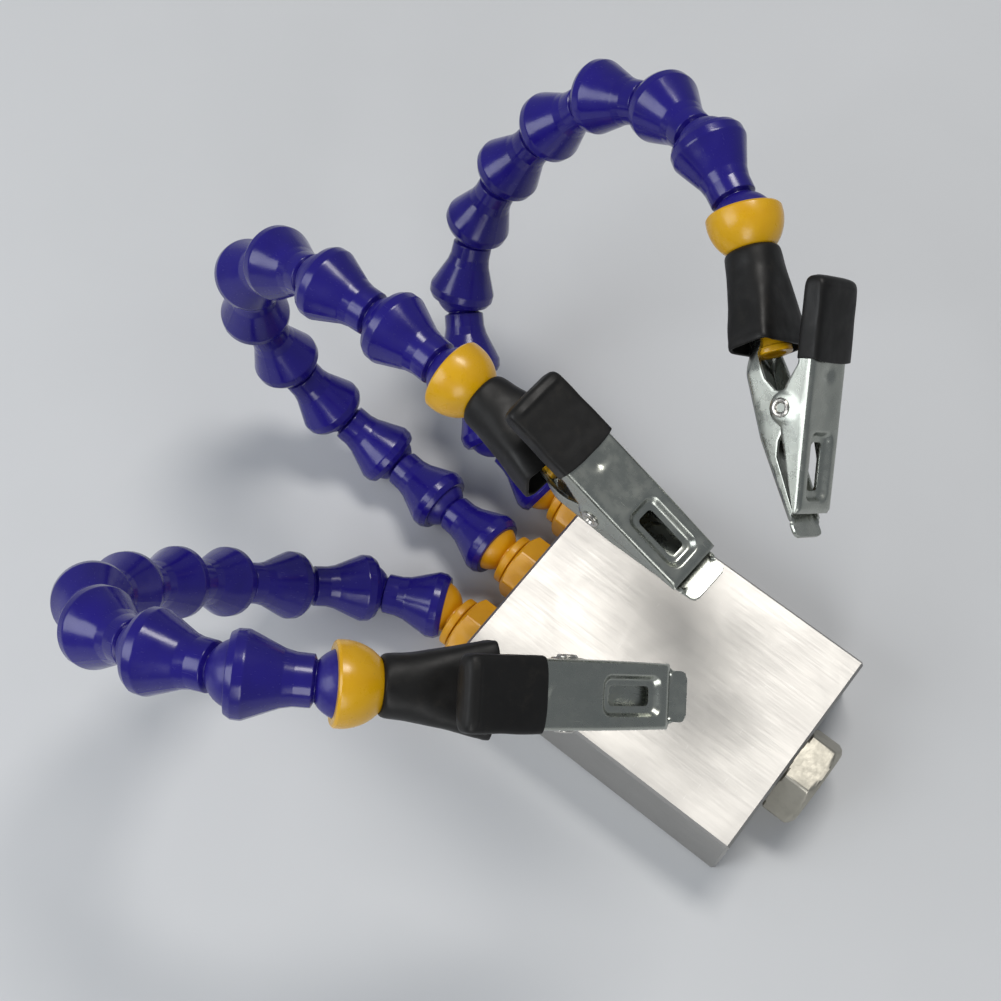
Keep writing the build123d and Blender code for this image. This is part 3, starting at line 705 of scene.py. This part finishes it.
# ---------------------------------------------------------------- materials
class Finish:
    """A material under construction: a Principled shader and the nodes that vary it."""

    def __init__(self, name, colour, metallic, roughness):
        self.material = bpy.data.materials.new(name)
        self.material.use_nodes = True
        self.tree = self.material.node_tree
        self.shader = self.tree.nodes["Principled BSDF"]
        self.colour = (*colour, 1.0)
        self.shader.inputs["Base Color"].default_value = self.colour
        self.shader.inputs["Metallic"].default_value = metallic
        self.shader.inputs["Roughness"].default_value = roughness
        self.height = None
        coordinates = self.tree.nodes.new("ShaderNodeTexCoord")
        info = self.tree.nodes.new("ShaderNodeObjectInfo")
        shift = self.tree.nodes.new("ShaderNodeVectorMath")
        shift.operation = "ADD"
        self.tree.links.new(coordinates.outputs["Object"], shift.inputs[0])
        self.tree.links.new(info.outputs["Random"], shift.inputs[1])
        self.place = shift.outputs["Vector"]
        self.local = coordinates.outputs["Object"]

    def set(self, **sockets):
        """Set uniform values on the shader's own sockets."""
        for name, value in sockets.items():
            self.shader.inputs[name.replace("_", " ")].default_value = value

    def noise(self, size, stretch=(1, 1, 1), detail=3.0, rough=0.55, distortion=0.0):
        """Noise with features of about this size in millimetres, drawn out along an axis by stretch."""
        mapping = self.tree.nodes.new("ShaderNodeMapping")
        mapping.inputs["Scale"].default_value = [1 / s for s in stretch]
        self.tree.links.new(self.place, mapping.inputs["Vector"])
        texture = self.tree.nodes.new("ShaderNodeTexNoise")
        texture.inputs["Scale"].default_value = 1 / (size * MM)
        texture.inputs["Detail"].default_value = detail
        texture.inputs["Roughness"].default_value = rough
        texture.inputs["Distortion"].default_value = distortion
        self.tree.links.new(mapping.outputs["Vector"], texture.inputs["Vector"])
        return texture.outputs["Fac"]

    def spread(self, value, low, high, start=0.0, end=1.0):
        """Map a value from low..high to start..end, clamped."""
        node = self.tree.nodes.new("ShaderNodeMapRange")
        node.interpolation_type = "SMOOTHSTEP"
        for socket, number in zip(("From Min", "From Max", "To Min", "To Max"), (low, high, start, end)):
            node.inputs[socket].default_value = number
        self.tree.links.new(value, node.inputs["Value"])
        return node.outputs["Result"]

    def combine(self, operation, a, b):
        """Arithmetic on two values, either of which may be a number."""
        node = self.tree.nodes.new("ShaderNodeMath")
        node.operation = operation
        for socket, value in zip(node.inputs, (a, b)):
            if isinstance(value, (int, float)):
                socket.default_value = value
            else:
                self.tree.links.new(value, socket)
        return node.outputs["Value"]

    def axis(self, name):
        """The object's own coordinate along X, Y or Z, in metres."""
        node = self.tree.nodes.new("ShaderNodeSeparateXYZ")
        self.tree.links.new(self.local, node.inputs["Vector"])
        return node.outputs[name]

    def tint(self, mask, colour):
        """Change the base colour towards another where the mask is 1."""
        node = self.tree.nodes.new("ShaderNodeMix")
        node.data_type = "RGBA"
        socket = self.shader.inputs["Base Color"]
        if socket.is_linked:
            self.tree.links.new(socket.links[0].from_socket, node.inputs["A"])
        else:
            node.inputs["A"].default_value = self.colour
        node.inputs["B"].default_value = (*colour, 1.0)
        self.tree.links.new(mask, node.inputs["Factor"])
        self.tree.links.new(node.outputs["Result"], socket)

    def roughen(self, value):
        """Drive the roughness."""
        self.tree.links.new(value, self.shader.inputs["Roughness"])

    def bump(self, height, depth):
        """Add bumps of this depth in millimetres to those already there."""
        node = self.tree.nodes.new("ShaderNodeBump")
        node.inputs["Strength"].default_value = 1.0
        node.inputs["Distance"].default_value = depth * MM
        self.tree.links.new(height, node.inputs["Height"])
        if self.height is not None:
            self.tree.links.new(self.height, node.inputs["Normal"])
        self.height = node.outputs["Normal"]
        self.tree.links.new(self.height, self.shader.inputs["Normal"])


def scratches(finish, size, along, level):
    """A mask of thin scratches drawn out along an axis."""
    return finish.spread(finish.noise(size, along, 2.0, 0.5, 0.15), level, level + 0.035)


def hose_plastic():
    """Glossy injection-moulded plastic, faintly uneven, dulled where the next socket rubs the ball."""
    finish = Finish("hose_plastic", (0.0125, 0.007, 0.18), 0.0, 0.22)
    finish.set(Coat_Weight=0.12, Coat_Roughness=0.1, IOR=1.45)
    cloud = finish.noise(9.0)
    finish.tint(finish.spread(cloud, 0.35, 0.75, 0.0, 0.55), (0.009, 0.005, 0.125))
    rubbed = finish.spread(finish.axis("X"), 12.2 * MM, 12.9 * MM)
    finish.tint(finish.combine("MULTIPLY", rubbed, finish.spread(finish.noise(1.1), 0.3, 0.7)),
                (0.02, 0.014, 0.19))
    marks = scratches(finish, 0.35, (9, 1, 1), 0.68)
    rough = finish.spread(finish.noise(3.5), 0.3, 0.7, 0.16, 0.27)
    rough = finish.combine("ADD", rough, finish.combine("MULTIPLY", rubbed, 0.16))
    finish.roughen(finish.combine("ADD", rough, finish.combine("MULTIPLY", marks, 0.2)))
    finish.bump(finish.noise(5.0, detail=1.0), 0.12)
    finish.bump(finish.noise(0.45), 0.01)
    return finish.material


def yellow_plastic(name, colour, shade, gloss):
    """Moulded plastic in a warm colour, with flow marks and a little grime."""
    finish = Finish(name, colour, 0.0, gloss)
    finish.set(Coat_Weight=0.15, Coat_Roughness=0.15, IOR=1.48)
    finish.tint(finish.spread(finish.noise(7.0, distortion=0.8), 0.4, 0.75, 0.0, 0.6), shade)
    grime = finish.spread(finish.noise(1.3, detail=5.0), 0.66, 0.76, 0.0, 0.25)
    finish.tint(grime, (0.28, 0.13, 0.02))
    marks = scratches(finish, 0.3, (1, 8, 1), 0.68)
    rough = finish.spread(finish.noise(2.5), 0.3, 0.7, gloss - 0.05, gloss + 0.1)
    finish.roughen(finish.combine("ADD", rough, finish.combine("MULTIPLY", marks, 0.15)))
    finish.bump(finish.noise(4.0, detail=1.0), 0.1)
    finish.bump(finish.noise(0.4), 0.012)
    return finish.material


def boot_vinyl():
    """Soft black vinyl: fine grain, a faint brown dust, and shinier rubbed places."""
    finish = Finish("boot_vinyl", (0.0055, 0.0052, 0.0048), 0.0, 0.5)
    finish.set(IOR=1.38)
    dust = finish.spread(finish.noise(2.6, detail=6.0, rough=0.65), 0.5, 0.8, 0.0, 0.5)
    finish.tint(dust, (0.022, 0.019, 0.015))
    finish.roughen(finish.spread(finish.noise(6.0), 0.32, 0.68, 0.42, 0.56))
    finish.bump(finish.noise(4.0, detail=1.0), 0.16)
    finish.bump(finish.noise(0.22, detail=2.0), 0.014)
    return finish.material


def nickel_plate():
    """Stamped, nickel-plated sheet: grey-green, wavy, with drawing lines and small spots."""
    finish = Finish("nickel_plate", (0.4, 0.415, 0.375), 1.0, 0.2)
    finish.tint(finish.spread(finish.noise(6.0, distortion=0.5), 0.4, 0.7, 0.0, 0.7), (0.37, 0.39, 0.355))
    spots = finish.spread(finish.noise(0.6, detail=2.0), 0.74, 0.79, 0.0, 0.3)
    finish.tint(spots, (0.2, 0.18, 0.14))
    lines = finish.noise(0.14, (40, 1, 1), 3.0, 0.6)
    marks = scratches(finish, 0.25, (14, 1, 1), 0.7)
    rough = finish.spread(finish.noise(2.2), 0.3, 0.7, 0.22, 0.33)
    finish.roughen(finish.combine("ADD", rough, finish.combine("MULTIPLY", marks, 0.15)))
    finish.bump(finish.noise(6.0, (1.5, 1, 1), 1.0), 0.09)
    finish.bump(lines, 0.004)
    return finish.material


def bright_metal(name, colour, rough_low, rough_high):
    """Small plated parts: turned marks, darker spots and an uneven shine."""
    finish = Finish(name, colour, 1.0, rough_low)
    dark = tuple(0.85 * channel for channel in colour)
    finish.tint(finish.spread(finish.noise(2.6, detail=4.0), 0.45, 0.75, 0.0, 0.7), dark)
    finish.roughen(finish.spread(finish.noise(1.4), 0.3, 0.7, rough_low, rough_high))
    finish.bump(finish.noise(1.6, detail=3.0), 0.05)
    return finish.material


def brushed_aluminium():
    """A machined block brushed along its length, with handling marks."""
    finish = Finish("brushed_aluminium", (0.44, 0.43, 0.41), 1.0, 0.4)
    brushing = finish.noise(0.16, (60, 1, 1), 4.0, 0.7)
    broad = finish.noise(0.8, (25, 1, 1), 3.0, 0.6)
    cloud = finish.spread(finish.noise(16.0, detail=4.0, distortion=0.6), 0.35, 0.7)
    finish.tint(finish.combine("MULTIPLY", cloud, 0.4), (0.37, 0.36, 0.345))
    finish.tint(finish.spread(broad, 0.5, 0.8, 0.0, 0.2), (0.34, 0.34, 0.33))
    marks = scratches(finish, 0.5, (1, 9, 1), 0.71)
    finish.tint(finish.combine("MULTIPLY", marks, 0.3), (0.58, 0.58, 0.57))
    rough = finish.spread(brushing, 0.3, 0.7, 0.39, 0.45)
    finish.roughen(finish.combine("ADD", rough, finish.combine("MULTIPLY", cloud, 0.03)))
    finish.bump(brushing, 0.004)
    finish.bump(broad, 0.006)
    return finish.material


MATERIALS = {
    "block": brushed_aluminium(),
    "bolt": bright_metal("zinc_plate", (0.44, 0.42, 0.36), 0.42, 0.5),
    "fitting": yellow_plastic("fitting_plastic", (0.68, 0.32, 0.003), (0.58, 0.24, 0.002), 0.36),
    "link": hose_plastic(),
    "nozzle": yellow_plastic("nozzle_plastic", (0.68, 0.37, 0.003), (0.62, 0.31, 0.002), 0.3),
    "jaw": nickel_plate(),
    "rivet": bright_metal("rivet_plate", (0.56, 0.54, 0.5), 0.16, 0.38),
    "spring": bright_metal("spring_wire", (0.42, 0.4, 0.36), 0.2, 0.42),
    "boot": boot_vinyl(),
}


# ---------------------------------------------------------------- places
def place_at(origin, x_axis, z_axis):
    """A matrix whose X and Z point along these directions, with its origin in metres."""
    y_axis = z_axis.cross(x_axis)
    turn = Matrix((x_axis, y_axis, z_axis)).transposed()
    return Matrix.Translation(origin) @ turn.to_4x4()


def along(origin, x_axis):
    """A place whose X runs along an axis and whose Z points as far up as it can."""
    up = Vector((0, 0, 1))
    return place_at(origin, x_axis, (up - x_axis * up.dot(x_axis)).normalized())


JOINTS = {joint["name"]: joint for joint in frame["joints"]}


def ball_centre(side, number):
    """The centre of one of an arm's ball joints."""
    return Vector(JOINTS[f"{side}_ball_{number:02d}"]["pos_m"])


def clip_places(side):
    """The places of an arm's clip and of its upper jaw, from its last ball and the jaw's hinge."""
    hinge = JOINTS[f"{side}_jaw_hinge"]
    y_axis = -Vector(hinge["axis"]).normalized()
    pin = Vector(hinge["pos_m"])
    cup = ball_centre(side, LINKS_PER_ARM + 1)
    reach = pin - cup
    x_axis = (reach * PIVOT_X - reach.cross(y_axis) * PIVOT_Z).normalized()
    z_axis = x_axis.cross(y_axis)
    tilt = Matrix.Rotation(radians(UPPER_TILT), 3, y_axis)
    return place_at(cup, x_axis, z_axis), place_at(pin, tilt @ x_axis, tilt @ z_axis)


def put(mesh, name, node, slot, place):
    """Put a mesh in the scene in the place of a CAD node, with its slot's material."""
    piece = as_object(name, mesh, place)
    piece.data.materials.clear()
    piece.data.materials.append(MATERIALS[slot])
    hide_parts(node)
    return piece


# ---------------------------------------------------------------- base
block_mesh = frame["nodes"]["base_block"].data
block_mesh.materials.clear()
block_mesh.materials.append(MATERIALS["block"])

bolt_seat = Vector((BLOCK_LENGTH / 2 * MM, 0, ball_centre("left", 1).z))
bolt = put(bolt_mesh(), "bolt", "hex_bolt", "bolt", along(bolt_seat, Vector((1, 0, 0))))
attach(bolt, "base")


# ---------------------------------------------------------------- arms
def add_arm(side, shapes):
    """Place every piece of one arm, and attach each piece but the spring to the body that carries it."""
    fitting = put(shapes["fitting"], f"{side}_fitting", f"{side}_base_fitting", "fitting",
                  along(ball_centre(side, 1), Vector((-1, 0, 0))))
    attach(fitting, "base")
    for i in range(1, LINKS_PER_ARM + 1):
        here = ball_centre(side, i)
        axis = (ball_centre(side, i + 1) - here).normalized()
        link = put(shapes["link"], f"{side}_hose_{i:02d}", f"{side}_link_{i:02d}", "link", along(here, axis))
        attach(link, f"{side}_link_{i:02d}")
    clip, jaw = clip_places(side)
    pin = jaw.to_translation()
    across = clip.to_3x3().col[1]
    for kind, node, slot, place, body in (
        ("nozzle", "nozzle", "nozzle", clip, "clip"),
        ("lower_jaw", "lower_jaw", "jaw", clip, "clip"),
        ("lower_boot", "lower_boot", "boot", clip, "clip"),
        ("upper_jaw", "upper_jaw", "jaw", jaw, "jaw"),
        ("upper_boot", "upper_boot", "boot", jaw, "jaw"),
        ("rivet", "jaw_pin", "rivet", place_at(pin, across, clip.to_3x3().col[2]), "clip"),
    ):
        piece = put(shapes[kind], f"{side}_{kind}_skin", f"{side}_{node}", slot, place)
        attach(piece, f"{side}_{body}")
    seat = place_at(pin, clip.to_3x3().col[0], clip.to_3x3().col[2])
    spring = put(shapes["spring"].copy(), f"{side}_spring_wire", f"{side}_jaw_spring", "spring", seat)
    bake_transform(spring)


SHAPES = {
    "fitting": fitting_mesh(),
    "link": link_mesh(),
    "nozzle": nozzle_mesh(),
    "lower_jaw": lower_jaw_mesh(),
    "lower_boot": lower_boot_mesh(),
    "upper_jaw": upper_jaw_mesh(),
    "upper_boot": upper_boot_mesh(),
    "rivet": pin_mesh(),
    "spring": wire_mesh("spring", spring_path(), SPRING_WIRE_RADIUS),
}
for arm_side in SIDES:
    add_arm(arm_side, SHAPES)


# ---------------------------------------------------------------- studio
def add_light(name, location, target, size, power, colour=(1, 1, 1)):
    """A soft rectangular light that faces a target."""
    data = bpy.data.lights.new(name, "AREA")
    data.shape = "RECTANGLE"
    data.size, data.size_y = size
    data.energy = power
    data.color = colour
    light = bpy.data.objects.new(name, data)
    bpy.context.scene.collection.objects.link(light)
    light.location = location
    light.rotation_euler = (Vector(target) - Vector(location)).to_track_quat("-Z", "Y").to_euler()


def add_floor():
    """The plain pale floor under the block."""
    mesh = bpy.data.meshes.new("floor")
    reach = 1.5
    corners = [(-reach, -reach, 0), (reach, -reach, 0), (reach, reach, 0), (-reach, reach, 0)]
    mesh.from_pydata(corners, [], [(0, 1, 2, 3)])
    finish = Finish("floor_paper", (0.62, 0.63, 0.64), 0.0, 0.7)
    finish.tint(finish.spread(finish.noise(30.0), 0.4, 0.7, 0.0, 0.15), (0.58, 0.59, 0.6))
    floor = as_object("floor", mesh)
    floor.data.materials.append(finish.material)


def add_camera(place, right, back, lens):
    """A camera at a place, from the directions of its right side and its back, and its focal length."""
    data = bpy.data.cameras.new("camera")
    data.lens = lens
    data.sensor_width = 36.0
    camera = bpy.data.objects.new("camera", data)
    bpy.context.scene.collection.objects.link(camera)
    camera.matrix_world = place_at(Vector(place), Vector(right), Vector(back))
    bpy.context.scene.camera = camera


def add_world(colour, strength):
    """An even light from all round."""
    world = bpy.data.worlds.new("studio")
    world.use_nodes = True
    background = world.node_tree.nodes["Background"]
    background.inputs["Color"].default_value = (*colour, 1.0)
    background.inputs["Strength"].default_value = strength
    bpy.context.scene.world = world


WARM = (1.0, 0.97, 0.93)
COOL = (0.94, 0.97, 1.0)
SKY = (0.8, 0.85, 0.92)

add_floor()
add_camera(place=(0.03298, -0.11369, 0.33688), right=(0.781926, 0.622650, 0.029974),
           back=(0.238761, -0.343559, 0.908273), lens=55.64)
add_light("key", (-0.12, 0.33, 0.85), target=(0.0, 0.0, 0.02), size=(0.34, 0.2), power=3.3, colour=WARM)
add_light("fill", (-0.45, -0.55, 0.55), target=(-0.03, 0.0, 0.05), size=(0.5, 0.5), power=3.2, colour=COOL)
add_light("side", (0.4, -0.55, 0.4), target=(-0.02, 0.0, 0.05), size=(0.3, 0.4), power=1.6)
add_world(SKY, 0.3)
bpy.context.scene.view_settings.view_transform = "Standard"
